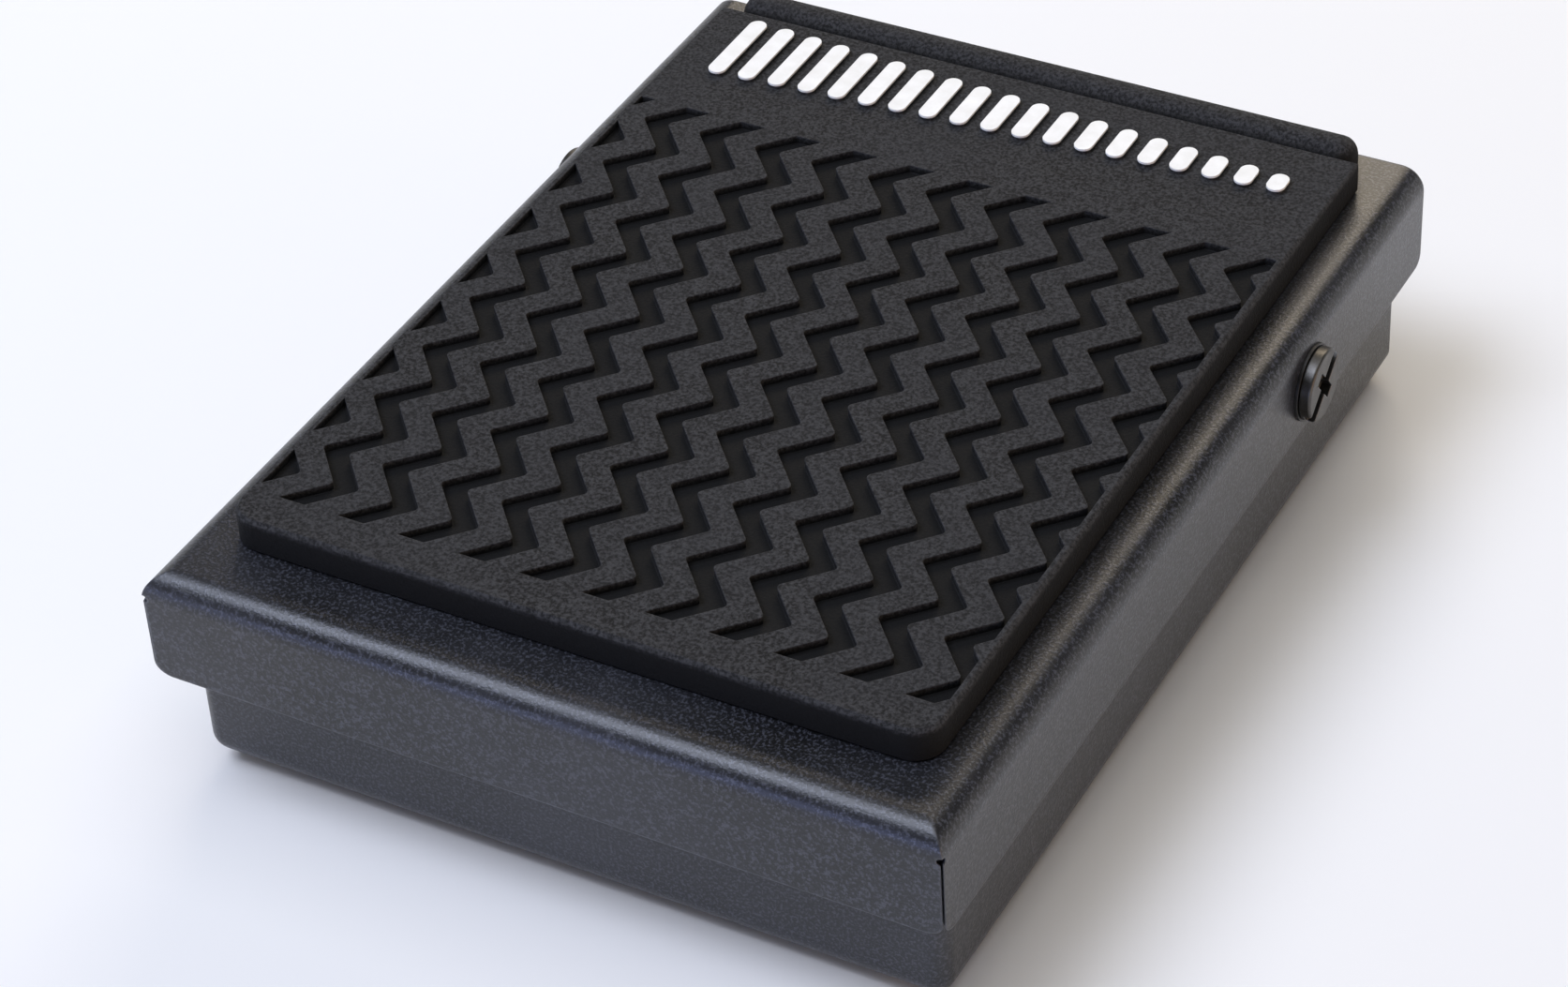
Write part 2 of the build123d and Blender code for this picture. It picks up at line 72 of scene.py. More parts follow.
# Lamps of the stage: name, place and size in metres, property that holds the power, colour
LAMPS = (
    ("top_softbox", (-0.39, -0.28, 0.85), (0.6, 0.5), "top_power", "#dfe8ff"),
    ("overhead_panel", (0.1, 0.0, 1.1), (1.2, 1.0), "panel_power", "#ffffff"),
    ("front_fill", (-0.15, -0.9, 0.10), (0.8, 0.15), "front_power", "#8fa8ff"),
    ("rear_light", (-0.14, 0.66, 0.43), (0.5, 0.25), "rear_power", "#fff0da"),
    ("side_fill", (0.8, -0.1, 0.12), (0.6, 0.2), "side_power", "#ffc890"),
)
LAMP_TARGET = (0.0, 0.0, 0.01)

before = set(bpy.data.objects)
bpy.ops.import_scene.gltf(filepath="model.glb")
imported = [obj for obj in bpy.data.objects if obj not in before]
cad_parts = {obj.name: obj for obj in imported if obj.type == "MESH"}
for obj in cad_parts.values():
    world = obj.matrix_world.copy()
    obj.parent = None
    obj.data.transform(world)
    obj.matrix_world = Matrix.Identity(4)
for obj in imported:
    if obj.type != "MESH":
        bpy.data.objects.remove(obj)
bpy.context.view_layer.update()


# Colours and node trees


def linear(hex_colour):
    """A linear RGBA colour from an sRGB hex value."""
    parts = [int(hex_colour[i : i + 2], 16) / 255 for i in (1, 3, 5)]
    return tuple(c / 12.92 if c <= 0.04045 else ((c + 0.055) / 1.055) ** 2.4 for c in parts) + (1.0,)


def colour_property(label, description, hex_colour):
    """A colour swatch for a property group."""
    return FloatVectorProperty(
        name=label,
        description=description,
        subtype="COLOR",
        size=4,
        min=0.0,
        max=1.0,
        default=linear(hex_colour),
    )


def add_node(tree, kind, settings=None, inputs=None):
    """Adds a node. An input is a value, or a (node, output) pair that is linked."""
    made = tree.nodes.new(kind)
    for name, value in (settings or {}).items():
        setattr(made, name, value)
    for name, value in (inputs or {}).items():
        if isinstance(value, tuple) and isinstance(value[0], bpy.types.Node):
            tree.links.new(value[0].outputs[value[1]], made.inputs[name])
        else:
            made.inputs[name].default_value = value
    return made


class PedalColours(bpy.types.PropertyGroup):
    """Base colours of the finishes."""

    coat: colour_property("Powder coat", "Satin black paint of the treadle and tray", "#08080a")
    coat_fleck: colour_property("Coat flecks", "Paler grains in the powder coat", "#3e4048")
    # Painted highlight in part: this pale edge tone is handling wear, and it also stands in for the light
    # caught along the coated edges.
    coat_wear_and_highlight: colour_property("Rubbed coat", "Powder coat rubbed pale along its edges", "#63656d")
    tread: colour_property("Tread rubber", "Moulded rubber under the foot", "#0c0c0d")
    tread_dust: colour_property("Tread dust", "Dust and scuffing on the tread", "#38383a")
    # Painted shade: this darker tone is blended in below the ridge tops, fully at the groove floors and
    # down the pad's sides.
    groove: colour_property("Groove rubber", "Unscuffed rubber in the grooves", "#050506")
    ink: colour_property("Badge ink", "White ink on the badge bars", "#f4f4f2")
    oxide: colour_property("Black oxide", "Hinge screw heads", "#5e5c59")
    bare: colour_property("Bare steel", "Steel showing through where a finish has rubbed", "#8d8d90")
    nylon: colour_property("Black nylon", "Hinge bushes", "#141415")
    zinc: colour_property("Zinc plate", "Nuts, washers, cups and guides", "#b9bcc0")
    zinc_dark: colour_property("Zinc bloom", "Duller patches of the zinc", "#8f9296")
    wire: colour_property("Spring wire", "Drawn wire of the return springs", "#9a9a9d")
    brass: colour_property("Brass", "Standoffs under the board", "#c9a45c")
    brass_dark: colour_property("Brass tarnish", "Tarnish on the standoffs", "#96743c")
    mask: colour_property("Solder mask", "Lacquer of the circuit board", "#14452a")
    track: colour_property("Track under mask", "Copper tracks showing through the lacquer", "#2d6b40")
    tin: colour_property("Tin", "Switch terminals and solder", "#b4b6b8")
    housing: colour_property("Switch housing", "Moulded case of the switch", "#19191b")
    button: colour_property("Switch button", "Moulded plunger of the switch", "#a02a20")
    stem: colour_property("Natural nylon", "Stem that presses the switch", "#cfccc0")
    film: colour_property("Adhesive film", "Film between tread and plate", "#a5a49c")
    sole: colour_property("Sole rubber", "Sheet rubber under the tray", "#1b1b1c")


class PedalTread(bpy.types.PropertyGroup):
    """Heights on the tread that its finish and its painted groove shade follow."""

    bead_rise: FloatProperty(
        name="Bead rise",
        description="Height of the rear bead above the ridges",
        default=0.35 * MM,
        unit="LENGTH",
    )
    groove_depth: FloatProperty(
        name="Groove depth",
        description="Depth of the zigzag grooves",
        default=0.75 * MM,
        unit="LENGTH",
    )
    # Painted shade starts below this part of a groove's depth, measured from the top.
    unshaded_share: FloatProperty(
        name="Scuffed share",
        description="Part of a groove's depth, from its top, that is scuffed like the ridges",
        default=0.2,
        subtype="FACTOR",
    )


class PedalSprings(bpy.types.PropertyGroup):
    """Sizes of the return springs."""

    wire_radius: FloatProperty(
        name="Wire radius",
        description="Half the thickness of the spring wire",
        default=0.45 * MM,
        unit="LENGTH",
    )
    active_turns: IntProperty(name="Active turns", description="Open turns of the coil", default=6)
    closed_turns: FloatProperty(
        name="Closed turns",
        description="Turns lying on each other at each end",
        default=1.25,
    )
    closed_pitch: FloatProperty(
        name="Closed pitch",
        description="Rise of a closed turn, in wire thicknesses",
        default=1.02,
    )
    ground_share: FloatProperty(
        name="Ground share",
        description="Part of the wire's radius ground off each end",
        default=0.5,
        subtype="FACTOR",
    )
    wire_sides: IntProperty(name="Wire sides", description="Facets round the wire", default=14)
    steps_per_turn: IntProperty(name="Steps", description="Rings in each turn", default=48)
    pressed_share: FloatProperty(
        name="Pressed height",
        description="Height left with the treadle fully down, as a share of the free height",
        default=0.775,
        subtype="FACTOR",
    )


class PedalStage(bpy.types.PropertyGroup):
    """Camera, floor and lights."""

    azimuth: FloatProperty(
        name="Camera azimuth",
        description="Camera's turn round the pedal from its front",
        default=math.radians(30.535),
        unit="ROTATION",
    )
    elevation: FloatProperty(
        name="Camera elevation",
        description="Camera's angle above the floor",
        default=math.radians(38.532),
        unit="ROTATION",
    )
    roll: FloatProperty(
        name="Camera roll",
        description="Camera's tilt about its own line of sight",
        default=math.radians(-3.601),
        unit="ROTATION",
    )
    distance: FloatProperty(
        name="Camera distance",
        description="Distance from the pedal's middle",
        default=0.3632,
        unit="LENGTH",
    )
    slide: FloatVectorProperty(
        name="Camera slide",
        description="Camera's move across and up its own view, and the height it aims at",
        default=(-0.002811, -0.006143, 0.0154),
        unit="LENGTH",
    )
    lens: FloatProperty(
        name="Lens",
        description="Focal length on a 36 mm frame",
        default=97.3,
        unit="CAMERA",
    )
    floor: colour_property("Floor", "Pale floor under the pedal", "#f3f3f2")
    air: colour_property("Room light", "Light from all round", "#ffffff")
    air_strength: FloatProperty(
        name="Ceiling strength", description="Strength of the light from high up", default=0.06
    )
    wall_strength: FloatProperty(
        name="Wall strength", description="Strength of the light from low down", default=0.85
    )
    wall_top: FloatProperty(
        name="Wall top",
        description="Angle above the horizon up to which the room is pale",
        default=math.radians(8),
        unit="ROTATION",
    )
    ceiling_start: FloatProperty(
        name="Ceiling start",
        description="Angle above the horizon from which the room is dim",
        default=math.radians(24),
        unit="ROTATION",
    )
    top_power: FloatProperty(
        name="Top light", description="Power of the soft box above on the left", default=6.8, unit="POWER"
    )
    panel_power: FloatProperty(
        name="Overhead panel", description="Power of the wide panel overhead", default=5.0, unit="POWER"
    )
    front_power: FloatProperty(
        name="Front light", description="Power of the low cool lamp in front", default=1.5, unit="POWER"
    )
    rear_power: FloatProperty(
        name="Rear light", description="Power of the warm lamp behind", default=2.0, unit="POWER"
    )
    side_power: FloatProperty(
        name="Side light", description="Power of the warm lamp on the right", default=1.4, unit="POWER"
    )
    floor_size: FloatProperty(
        name="Floor size", description="Width of the floor", default=2.0, unit="LENGTH"
    )


# Materials


def start_material(name):
    """A new material with a shader, its output, and coordinates in metres on the pedal."""
    material = bpy.data.materials.new(name)
    material.use_nodes = True
    tree = material.node_tree
    tree.nodes.clear()
    shader = add_node(tree, "ShaderNodeBsdfPrincipled")
    add_node(tree, "ShaderNodeOutputMaterial", inputs={"Surface": (shader, "BSDF")})
    place = add_node(tree, "ShaderNodeTexCoord")
    return material, tree, shader, place


def finish_material(name, colour, second, patch_mm, grain_mm, grain_height_mm, roughness, **extra):
    """Builds a finish from two tones in patches, a fine grain, and rubbed edges.

    The keywords in extra are metallic, ior, coat, stretch (grain drawn out along an axis), speckle and span
    (how strong the second tone's flecks are, and the part of the grain they take), rubbed (edge colour,
    which on the powder coat is partly a painted highlight), edge_mm, edge_share, swell_mm, swell_height_mm,
    and hollow (a colour painted in as shade below a height, and the heights where it is complete and where
    it starts).
    """
    material, tree, shader, place = start_material(name)
    shader.inputs["Metallic"].default_value = extra.get("metallic", 0.0)
    if "ior" in extra:
        shader.inputs["IOR"].default_value = extra["ior"]
    if "coat" in extra:
        shader.inputs["Coat Weight"].default_value = extra["coat"]
        shader.inputs["Coat Roughness"].default_value = LACQUER_ROUGHNESS

    patches = add_node(
        tree,
        "ShaderNodeTexNoise",
        inputs={"Vector": (place, "Object"), "Scale": 1 / (patch_mm * MM), "Detail": 4.0},
    )
    stretched = add_node(
        tree,
        "ShaderNodeMapping",
        inputs={"Vector": (place, "Object"), "Scale": extra.get("stretch", (1.0, 1.0, 1.0))},
    )
    grain = add_node(
        tree,
        "ShaderNodeTexNoise",
        inputs={
            "Vector": (stretched, "Vector"),
            "Scale": 1 / (grain_mm * MM),
            "Detail": 3.0,
            "Roughness": 0.65,
        },
    )
    cloud = add_node(
        tree,
        "ShaderNodeMapRange",
        inputs={"Value": (patches, "Fac"), **NOISE_SPAN, "To Min": 0.0, "To Max": CLOUD_SHARE},
    )
    tone = add_node(
        tree,
        "ShaderNodeMix",
        {"data_type": "RGBA"},
        {"Factor": (cloud, "Result"), "A": colour, "B": second},
    )
    fleck_low, fleck_high = extra.get("span", NOISE_SPAN.values())
    flecks = add_node(
        tree,
        "ShaderNodeMapRange",
        inputs={
            "Value": (grain, "Fac"),
            "From Min": fleck_low,
            "From Max": fleck_high,
            "To Min": 0.0,
            "To Max": extra.get("speckle", 0.3),
        },
    )
    speckle = add_node(
        tree,
        "ShaderNodeMix",
        {"data_type": "RGBA"},
        {"Factor": (flecks, "Result"), "A": (tone, "Result"), "B": second},
    )
    # Painted shade: below a given height the colour is blended to a darker tone, fully at the lower height
    # and below it.
    if "hollow" in extra:
        hollow_colour, floor_height, top_height = extra["hollow"]
        height = add_node(tree, "ShaderNodeSeparateXYZ", inputs={"Vector": (place, "Object")})
        depth = add_node(
            tree,
            "ShaderNodeMapRange",
            inputs={
                "Value": (height, "Z"),
                "From Min": top_height,
                "From Max": floor_height,
                "To Min": 0.0,
                "To Max": 1.0,
            },
        )
        speckle = add_node(
            tree,
            "ShaderNodeMix",
            {"data_type": "RGBA"},
            {"Factor": (depth, "Result"), "A": (speckle, "Result"), "B": hollow_colour},
        )
    # Edges are where the normal of a rounded copy leaves the face's own normal
    rounded = add_node(tree, "ShaderNodeBevel", {"samples": 6}, {"Radius": extra.get("edge_mm", 0.2) * MM})
    flat = add_node(tree, "ShaderNodeNewGeometry")
    alike = add_node(
        tree,
        "ShaderNodeVectorMath",
        {"operation": "DOT_PRODUCT"},
        {0: (rounded, "Normal"), 1: (flat, "Normal")},
    )
    edge = add_node(
        tree,
        "ShaderNodeMapRange",
        inputs={
            "Value": (alike, "Value"),
            "From Min": 1.0,
            "From Max": EDGE_COSINE,
            "To Min": 0.0,
            "To Max": 1.0,
        },
    )
    uneven = add_node(
        tree,
        "ShaderNodeMapRange",
        inputs={
            "Value": (patches, "Fac"),
            **NOISE_SPAN,
            "To Min": LEAST_RUBBED,
            "To Max": extra.get("edge_share", 0.5),
        },
    )
    # Edges take the rubbed colour: edge wear, and on the powder coat also a painted highlight along its
    # edges.
    edge_wear_and_highlight_mask = add_node(
        tree,
        "ShaderNodeMath",
        {"operation": "MULTIPLY"},
        {0: (edge, "Result"), 1: (uneven, "Result")},
    )
    edge_wear_and_highlight = add_node(
        tree,
        "ShaderNodeMix",
        {"data_type": "RGBA"},
        {"Factor": (edge_wear_and_highlight_mask, "Value"), "A": (speckle, "Result"), "B": extra.get("rubbed", second)},
    )
    tree.links.new(edge_wear_and_highlight.outputs["Result"], shader.inputs["Base Color"])
    low, high = roughness
    cloudy_gloss = add_node(
        tree,
        "ShaderNodeMapRange",
        inputs={"Value": (patches, "Fac"), **NOISE_SPAN, "To Min": low, "To Max": high},
    )
    grainy_gloss = add_node(
        tree,
        "ShaderNodeMapRange",
        inputs={"Value": (grain, "Fac"), **NOISE_SPAN, "To Min": high, "To Max": low},
    )
    gloss = add_node(
        tree,
        "ShaderNodeMix",
        {"data_type": "FLOAT"},
        {"Factor": 0.5, "A": (cloudy_gloss, "Result"), "B": (grainy_gloss, "Result")},
    )
    tree.links.new(gloss.outputs["Result"], shader.inputs["Roughness"])
    swell = add_node(
        tree,
        "ShaderNodeTexNoise",
        inputs={"Vector": (place, "Object"), "Scale": 1 / (extra.get("swell_mm", 6.0) * MM), "Detail": 1.0},
    )
    wavy = add_node(
        tree,
        "ShaderNodeBump",
        inputs={
            "Height": (swell, "Fac"),
            "Distance": extra.get("swell_height_mm", 0.0) * MM,
            "Normal": (rounded, "Normal"),
        },
    )
    grained = add_node(
        tree,
        "ShaderNodeBump",
        inputs={"Height": (grain, "Fac"), "Distance": grain_height_mm * MM, "Normal": (wavy, "Normal")},
    )
    tree.links.new(grained.outputs["Normal"], shader.inputs["Normal"])
    return material


def dress(material, *nodes):
    """Gives a material to CAD nodes."""
    for name in nodes:
        for material_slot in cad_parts[name].material_slots:
            material_slot.material = material


def both(stem):
    """The names of a piece that comes left and right."""
    return [f"{stem}_{side}" for side in SIDES]


# Powder-coated and rubber outside


class PEDAL_OT_coat(bpy.types.Operator):
    """Powder-coats the treadle shell, the tray and the rear plate"""

    bl_idname = "pedal.coat"
    bl_label = "Powder coat"

    def execute(self, context):
        colours = context.scene.pedal_colours
        # Polyester powder, sprayed and baked: satin black, slightly pebbled, with fine paler flecks, and a
        # paler line along the edges that is partly handling wear and partly a painted highlight. The grain
        # is drawn at 0.28 mm, coarser than the real grit, so that it shows.
        coat = finish_material(
            "Powder_coated_steel",
            colours.coat,
            colours.coat_fleck,
            patch_mm=14.0,
            grain_mm=0.28,
            grain_height_mm=0.035,
            roughness=(0.26, 0.38),
            ior=1.54,
            speckle=1.0,
            span=(0.5, 0.62),
            rubbed=colours.coat_wear_and_highlight,
            edge_mm=0.3,
            edge_share=0.6,
            swell_mm=7.0,
            swell_height_mm=0.05,
        )
        dress(coat, "top_shell", "base_tray", "rear_plate")
        return {"FINISHED"}


class PEDAL_OT_tread(bpy.types.Operator):
    """Finishes the rubber tread and the film that holds it"""

    bl_idname = "pedal.tread"
    bl_label = "Rubber tread"

    def execute(self, context):
        colours = context.scene.pedal_colours
        sizes = context.scene.pedal_tread
        ridge_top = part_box("tread_pad")[1].z - sizes.bead_rise
        # Compression-moulded rubber from a spark-eroded mould: matt, with a coarse grey grain, and painted
        # shade that darkens it below the ridge tops, fully at the groove floors and down the pad's sides.
        # The grain is drawn at 0.3 mm, coarser than the real one, so that it shows.
        rubber = finish_material(
            "Moulded_tread_rubber",
            colours.tread,
            colours.tread_dust,
            patch_mm=9.0,
            grain_mm=0.3,
            grain_height_mm=0.07,
            roughness=(0.75, 0.9),
            ior=1.34,
            speckle=1.0,
            span=(0.4, 0.62),
            rubbed=colours.tread_dust,
            edge_mm=0.18,
            edge_share=0.5,
            # Painted shade: the groove tone from the groove floors downward, fading out towards the ridge
            # tops.
            hollow=(
                colours.groove,
                ridge_top - sizes.groove_depth,
                ridge_top - sizes.unshaded_share * sizes.groove_depth,
            ),
        )
        dress(rubber, "tread_pad")
        # Cast acrylic film with an even, slightly cloudy gloss
        film = finish_material(
            "Acrylic_adhesive_film",
            colours.film,
            colours.tin,
            patch_mm=3.0,
            grain_mm=0.5,
            grain_height_mm=0.004,
            roughness=(0.25, 0.4),
            ior=1.47,
        )
        dress(film, "pad_adhesive")
        return {"FINISHED"}


class PEDAL_OT_badge(bpy.types.Operator):
    """Prints the raised badge bars"""

    bl_idname = "pedal.badge"
    bl_label = "Badge ink"

    def execute(self, context):
        colours = context.scene.pedal_colours
        # Pad-printed white ink over the rubber's grain: opaque, faintly mottled, semi-matt
        ink = finish_material(
            "Pad_printed_white_ink",
            colours.ink,
            colours.stem,
            patch_mm=1.5,
            grain_mm=0.25,
            grain_height_mm=0.01,
            roughness=(0.45, 0.6),
            ior=1.5,
            speckle=0.08,
            edge_mm=0.08,
            edge_share=0.1,
        )
        dress(ink, "badge_bars")
        return {"FINISHED"}


class PEDAL_OT_hinge(bpy.types.Operator):
    """Finishes the hinge screws, bushes, washers and nuts"""

    bl_idname = "pedal.hinge"
    bl_label = "Hinge hardware"

    def execute(self, context):
        colours = context.scene.pedal_colours
        # Black-oxide steel, turned and tumbled: dark, oily gloss with bright rubbed edges
        oxide = finish_material(
            "Black_oxide_steel",
            colours.oxide,
            colours.nylon,
            patch_mm=1.6,
            grain_mm=0.12,
            grain_height_mm=0.004,
            roughness=(0.3, 0.45),
            metallic=1.0,
            rubbed=colours.bare,
            edge_mm=0.15,
            edge_share=0.9,
        )
        dress(oxide, *both("pivot_screw"))
        # Injection-moulded nylon: near black, with the soft gloss of a polished mould
        nylon = finish_material(
            "Moulded_black_nylon",
            colours.nylon,
            colours.tread,
            patch_mm=2.0,
            grain_mm=0.3,
            grain_height_mm=0.004,
            roughness=(0.4, 0.5),
            ior=1.53,
            edge_mm=0.1,
        )
        dress(nylon, *both("pivot_bush"))
        dress(zinc_plate(colours), *both("spacer_washer"), *both("pivot_nut"))
        return {"FINISHED"}


def zinc_plate(colours):
    """The zinc finish, made once and shared by all the small plated pieces."""
    made = bpy.data.materials.get("Zinc_plated_steel")
    if made:
        return made
    # Bright zinc, barrel-plated: pale metal with duller clouds and faint handling marks
    return finish_material(
        "Zinc_plated_steel",
        colours.zinc,
        colours.zinc_dark,
        patch_mm=1.2,
        grain_mm=0.15,
        grain_height_mm=0.003,
        roughness=(0.22, 0.42),
        metallic=1.0,
        rubbed=colours.zinc,
        edge_mm=0.12,
    )


# Springs and stops


def coil_mesh(name, low, high, sizes):
    """A coil spring between two heights, with closed and ground ends."""
    across = (high.x - low.x) / 2 - sizes.wire_radius
    middle = (low + high) / 2
    turns = sizes.active_turns + 2 * sizes.closed_turns
    steps = int(turns * sizes.steps_per_turn)
    closed_rise = 2 * sizes.wire_radius * sizes.closed_pitch
    ends_rise = 2 * sizes.closed_turns * closed_rise
    ground = sizes.ground_share * sizes.wire_radius
    height = high.z - low.z - 2 * (sizes.wire_radius - ground)
    open_rise = (height - ends_rise) / sizes.active_turns
    start_height = low.z + sizes.wire_radius - ground

    def centre(turn):
        """Point of the wire's centre line after so many turns."""
        start = min(turn, sizes.closed_turns)
        end = max(turn - sizes.closed_turns - sizes.active_turns, 0.0)
        rise = (start + end) * closed_rise + (turn - start - end) * open_rise
        angle = turn * 2 * math.pi
        x = middle.x + across * math.cos(angle)
        y = middle.y + across * math.sin(angle)
        return Vector((x, y, start_height + rise))

    mesh = bmesh.new()
    rings = []
    for step in range(steps + 1):
        turn = turns * step / steps
        here = centre(turn)
        along = (centre(turn + DIRECTION_STEP) - centre(turn - DIRECTION_STEP)).normalized()
        outward = Vector((math.cos(turn * 2 * math.pi), math.sin(turn * 2 * math.pi), 0.0))
        upward = along.cross(outward)
        ring = []
        for side in range(sizes.wire_sides):
            angle = side * 2 * math.pi / sizes.wire_sides
            point = here + sizes.wire_radius * (math.cos(angle) * outward + math.sin(angle) * upward)
            point.z = min(max(point.z, low.z), high.z)
            ring.append(mesh.verts.new(point))
        rings.append(ring)
    for ring, following in zip(rings, rings[1:]):
        for side in range(sizes.wire_sides):
            after = (side + 1) % sizes.wire_sides
            face = mesh.faces.new((ring[side], ring[after], following[after], following[side]))
            face.smooth = True
    mesh.faces.new(reversed(rings[0]))
    mesh.faces.new(rings[-1])
    bmesh.ops.recalc_face_normals(mesh, faces=mesh.faces)
    data = bpy.data.meshes.new(name)
    mesh.to_mesh(data)
    mesh.free()
    return data


class PEDAL_OT_springs(bpy.types.Operator):
    """Winds the return springs and finishes their guides and cups"""

    bl_idname = "pedal.springs"
    bl_label = "Return springs"

    def execute(self, context):
        colours = context.scene.pedal_colours
        sizes = context.scene.pedal_springs
        # Hard-drawn spring wire: grey metal with fine lines round each turn and an oily gloss
        wire = finish_material(
            "Drawn_spring_wire",
            colours.wire,
            colours.bare,
            patch_mm=1.5,
            grain_mm=0.2,
            grain_height_mm=0.004,
            roughness=(0.25, 0.4),
            metallic=1.0,
            stretch=(1.0, 1.0, 6.0),
            edge_mm=0.05,
        )
        for side in SIDES:
            stands_for = f"return_spring_{side}"
            low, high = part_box(stands_for)
            data = coil_mesh(f"spring_coil_{side}", low, high, sizes)
            data.materials.append(wire)
            coil = bpy.data.objects.new(f"spring_coil_{side}", data)
            context.scene.collection.objects.link(coil)
            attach(coil, "base")
            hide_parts(stands_for)
            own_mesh(coil)
        dress(zinc_plate(colours), *both("spring_guide"), *both("spring_cup"))
        return {"FINISHED"}


class PEDAL_OT_stops(bpy.types.Operator):
    """Finishes the sole, the stops and the grommet"""

    bl_idname = "pedal.stops"
    bl_label = "Sole, stops and grommet"

    def execute(self, context):
        colours = context.scene.pedal_colours
        # Calendered sheet rubber with a fabric-pressed face: dull, with a fine pebble
        sole = finish_material(
            "Calendered_sole_rubber",
            colours.sole,
            colours.tread_dust,
            patch_mm=12.0,
            grain_mm=0.6,
            grain_height_mm=0.06,
            roughness=(0.7, 0.85),
            ior=1.52,
            speckle=0.35,
            edge_mm=0.2,
        )
        dress(sole, "rubber_sole")
        # Moulded nitrile rubber: black, a little glossier than the sole
        nitrile = finish_material(
            "Moulded_nitrile_rubber",
            colours.nylon,
            colours.sole,
            patch_mm=4.0,
            grain_mm=0.35,
            grain_height_mm=0.01,
            roughness=(0.5, 0.65),
            ior=1.52,
            edge_mm=0.2,
        )
        dress(nitrile, "cable_grommet", "rear_stop_strip", *both("stop_bumper"))
        return {"FINISHED"}


# Switch


class PEDAL_OT_switch(bpy.types.Operator):
    """Finishes the circuit board, the switch and the stem that presses it"""

    bl_idname = "pedal.switch"
    bl_label = "Switch and board"

    def execute(self, context):
        colours = context.scene.pedal_colours
        # Glass-epoxy board under green lacquer: glossy, with paler tracks
        board = finish_material(
            "Glass_epoxy_board",
            colours.mask,
            colours.track,
            patch_mm=2.4,
            grain_mm=0.25,
            grain_height_mm=0.003,
            roughness=(0.22, 0.32),
            ior=1.55,
            coat=0.5,
            stretch=(1.0, 6.0, 1.0),
            edge_mm=0.1,
        )
        dress(board, "circuit_board")
        # Phenolic case, compression moulded: black, semi-gloss
        case = finish_material(
            "Moulded_switch_case",
            colours.housing,
            colours.sole,
            patch_mm=2.5,
            grain_mm=0.3,
            grain_height_mm=0.004,
            roughness=(0.3, 0.42),
            ior=1.55,
            edge_mm=0.12,
        )
        dress(case, "switch_case")
        # Acetal button, injection moulded: waxy red
        button = finish_material(
            "Moulded_acetal_button",
            colours.button,
            colours.brass_dark,
            patch_mm=1.0,
            grain_mm=0.2,
            grain_height_mm=0.003,
            roughness=(0.35, 0.45),
            ior=1.48,
            speckle=0.1,
            edge_mm=0.06,
        )
        dress(button, "switch_plunger")
        # Uncoloured nylon, injection moulded: milky, with a soft sheen
        natural = finish_material(
            "Moulded_natural_nylon",
            colours.stem,
            colours.film,
            patch_mm=2.5,
            grain_mm=0.3,
            grain_height_mm=0.004,
            roughness=(0.38, 0.5),
            ior=1.53,
            speckle=0.15,
            edge_mm=0.1,
        )
        dress(natural, "actuator_stem")
        # Stainless strip, rolled and stamped: bright, with lines along the lever
        strip = finish_material(
            "Rolled_spring_strip",
            colours.tin,
            colours.bare,
            patch_mm=2.0,
            grain_mm=0.2,
            grain_height_mm=0.003,
            roughness=(0.2, 0.35),
            metallic=1.0,
            stretch=(6.0, 0.6, 1.0),
            edge_mm=0.05,
        )
        dress(strip, "switch_lever", "lever_pin")
        # Tin-dipped brass legs: soft grey shine
        tin = finish_material(
            "Tinned_terminal",
            colours.tin,
            colours.zinc_dark,
            patch_mm=0.8,
            grain_mm=0.15,
            grain_height_mm=0.004,
            roughness=(0.25, 0.4),
            metallic=1.0,
            edge_mm=0.05,
        )
        dress(tin, "switch_terminals")
        # Turned brass: warm metal with faint tool rings and patches of tarnish
        brass = finish_material(
            "Turned_brass",
            colours.brass,
            colours.brass_dark,
            patch_mm=1.6,
            grain_mm=0.18,
            grain_height_mm=0.003,
            roughness=(0.25, 0.4),
            metallic=1.0,
            stretch=(1.0, 1.0, 6.0),
            edge_mm=0.08,
        )
        dress(brass, "board_standoffs")
        dress(zinc_plate(colours), "board_screws")
        return {"FINISHED"}


# Stage


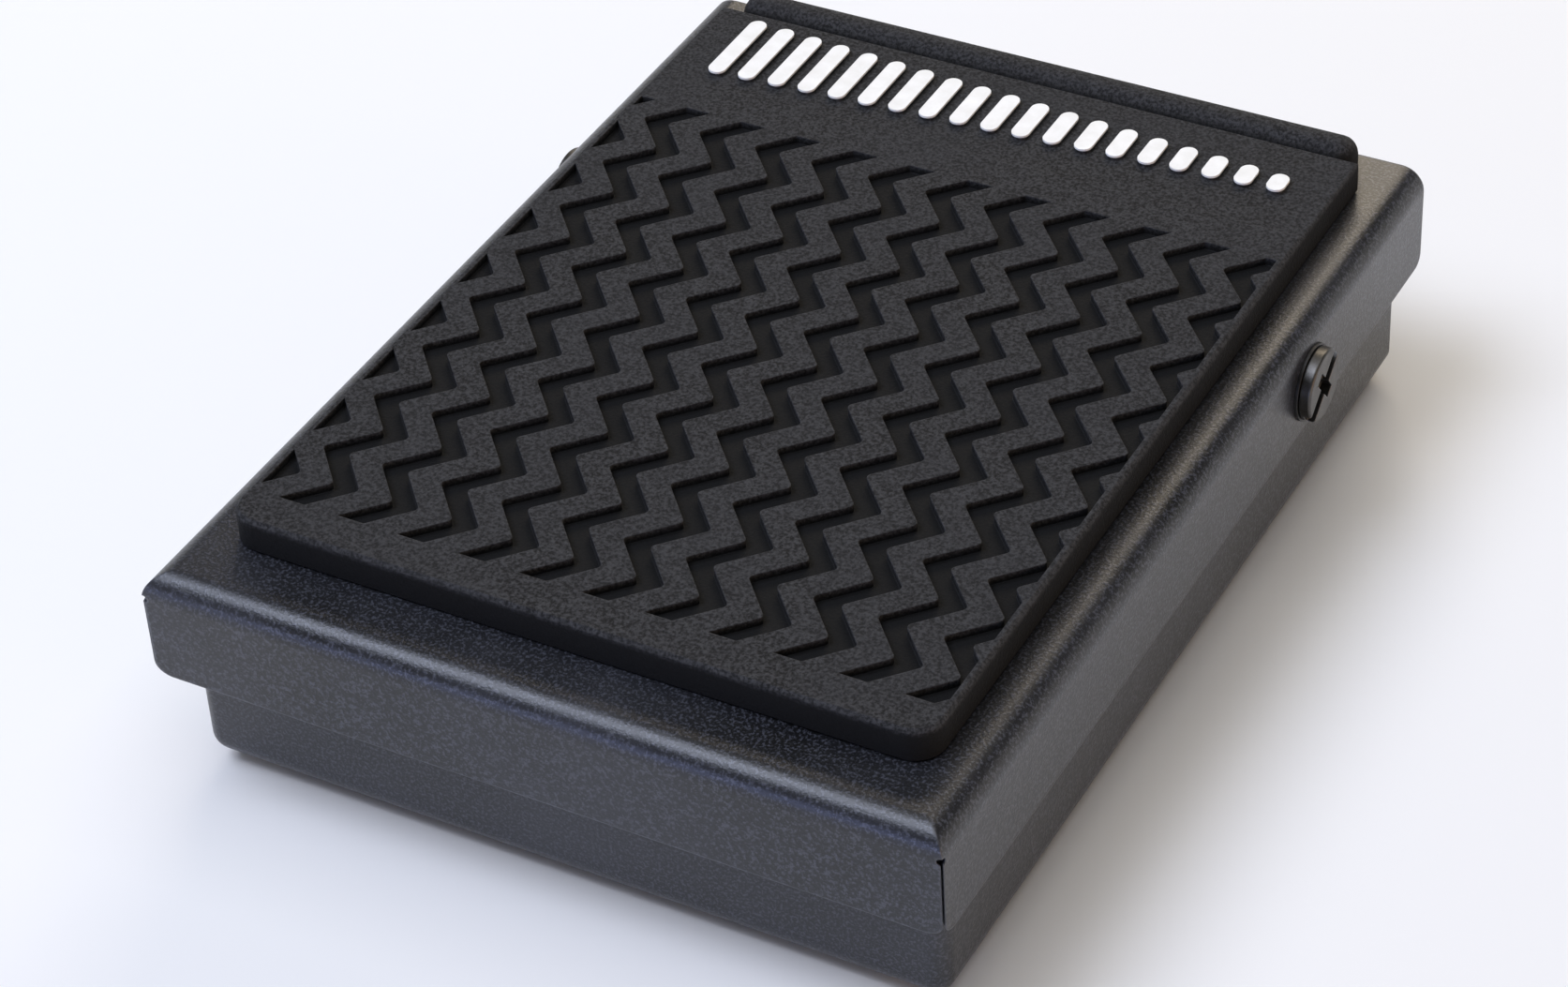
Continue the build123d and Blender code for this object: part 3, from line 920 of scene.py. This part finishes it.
class PEDAL_OT_stage(bpy.types.Operator):
    """Sets out the floor, the lights and the camera"""

    bl_idname = "pedal.stage"
    bl_label = "Stage"

    def execute(self, context):
        scene = context.scene
        stage = scene.pedal_stage
        self.add_floor(scene, stage)
        self.add_lights(scene, stage)
        self.add_camera(scene, stage)
        return {"FINISHED"}

    def add_floor(self, scene, stage):
        """A plain pale floor, big enough to fill every view."""
        mesh = bmesh.new()
        bmesh.ops.create_grid(mesh, x_segments=4, y_segments=4, size=stage.floor_size / 2)
        data = bpy.data.meshes.new("floor")
        mesh.to_mesh(data)
        mesh.free()
        # Matt white emulsion on board, with a faint texture from the roller
        material, tree, shader, place = start_material("Painted_board_floor")
        roller_width = 3 * MM
        roller_height = 0.01 * MM
        roller = add_node(
            tree,
            "ShaderNodeTexNoise",
            inputs={"Vector": (place, "Object"), "Scale": 1 / roller_width, "Detail": 2.0},
        )
        stipple = add_node(
            tree, "ShaderNodeBump", inputs={"Height": (roller, "Fac"), "Distance": roller_height}
        )
        tree.links.new(stipple.outputs["Normal"], shader.inputs["Normal"])
        shader.inputs["Base Color"].default_value = stage.floor
        shader.inputs["Roughness"].default_value = 0.85
        data.materials.append(material)
        floor = bpy.data.objects.new("floor", data)
        scene.collection.objects.link(floor)

    def add_lights(self, scene, stage):
        """Faint light from the room, a soft box and a panel above, and lamps on three sides."""
        world = bpy.data.worlds.new("studio_air")
        world.use_nodes = True
        tree = world.node_tree
        background = tree.nodes["Background"]
        background.inputs["Color"].default_value = stage.air
        # Pale walls low down, fading to a dim ceiling
        direction = add_node(tree, "ShaderNodeTexCoord")
        upward = add_node(tree, "ShaderNodeSeparateXYZ", inputs={"Vector": (direction, "Generated")})
        fade = add_node(
            tree,
            "ShaderNodeMapRange",
            inputs={
                "Value": (upward, "Z"),
                "From Min": math.sin(stage.wall_top),
                "From Max": math.sin(stage.ceiling_start),
                "To Min": stage.wall_strength,
                "To Max": stage.air_strength,
            },
        )
        tree.links.new(fade.outputs["Result"], background.inputs["Strength"])
        scene.world = world
        for name, place, size, power, colour in LAMPS:
            data = bpy.data.lights.new(name, "AREA")
            data.shape = "RECTANGLE"
            data.size, data.size_y = size
            data.energy = getattr(stage, power)
            data.color = linear(colour)[:3]
            lamp = bpy.data.objects.new(name, data)
            lamp.location = place
            aim = Vector(LAMP_TARGET) - Vector(place)
            lamp.rotation_euler = aim.to_track_quat("-Z", "Y").to_euler()
            scene.collection.objects.link(lamp)

    def add_camera(self, scene, stage):
        """The camera, looking down at the front right corner with the rear far right."""
        level = math.cos(stage.elevation)
        back = Vector(
            (math.sin(stage.azimuth) * level, -math.cos(stage.azimuth) * level, math.sin(stage.elevation))
        )
        right = Vector((math.cos(stage.azimuth), math.sin(stage.azimuth), 0.0))
        up = back.cross(right)
        turned_right = right * math.cos(stage.roll) + up * math.sin(stage.roll)
        turned_up = up * math.cos(stage.roll) - right * math.sin(stage.roll)
        across, upward, aim_height = stage.slide
        data = bpy.data.cameras.new("camera")
        data.lens = stage.lens
        data.sensor_width = SENSOR_WIDTH
        data.clip_start = CLIP_START
        camera = bpy.data.objects.new("camera", data)
        place = Vector((0, 0, aim_height)) + back * stage.distance
        place += turned_right * across + turned_up * upward
        turn = Matrix((turned_right, turned_up, back)).transposed().to_4x4()
        camera.matrix_world = Matrix.Translation(place) @ turn
        scene.collection.objects.link(camera)
        scene.camera = camera
        scene.view_settings.view_transform = "Standard"


class PEDAL_PT_panel(bpy.types.Panel):
    """Lists the pedal's pieces and finishes"""

    bl_idname = "PEDAL_PT_panel"
    bl_label = "Sustain pedal"
    bl_space_type = "VIEW_3D"
    bl_region_type = "UI"
    bl_category = "Pedal"

    def draw(self, context):
        for operator in OPERATORS:
            self.layout.operator(operator.bl_idname)
        for group_name in GROUPS:
            group = getattr(context.scene, group_name)
            box = self.layout.box()
            for name in group.bl_rna.properties.keys():
                if name not in ("name", "rna_type"):
                    box.prop(group, name)


OPERATORS = (
    PEDAL_OT_coat,
    PEDAL_OT_tread,
    PEDAL_OT_badge,
    PEDAL_OT_hinge,
    PEDAL_OT_springs,
    PEDAL_OT_stops,
    PEDAL_OT_switch,
    PEDAL_OT_stage,
)
GROUPS = {
    "pedal_colours": PedalColours,
    "pedal_tread": PedalTread,
    "pedal_springs": PedalSprings,
    "pedal_stage": PedalStage,
}
CLASSES = (*GROUPS.values(), *OPERATORS, PEDAL_PT_panel)


def register():
    for cls in CLASSES:
        bpy.utils.register_class(cls)
    for name, group in GROUPS.items():
        setattr(bpy.types.Scene, name, PointerProperty(type=group))


def unregister():
    for name in GROUPS:
        delattr(bpy.types.Scene, name)
    for cls in reversed(CLASSES):
        bpy.utils.unregister_class(cls)


def main():
    register()
    bpy.ops.pedal.coat()
    bpy.ops.pedal.tread()
    bpy.ops.pedal.badge()
    bpy.ops.pedal.hinge()
    bpy.ops.pedal.springs()
    bpy.ops.pedal.stops()
    bpy.ops.pedal.switch()
    bpy.ops.pedal.stage()


if __name__ == "__main__":
    main()
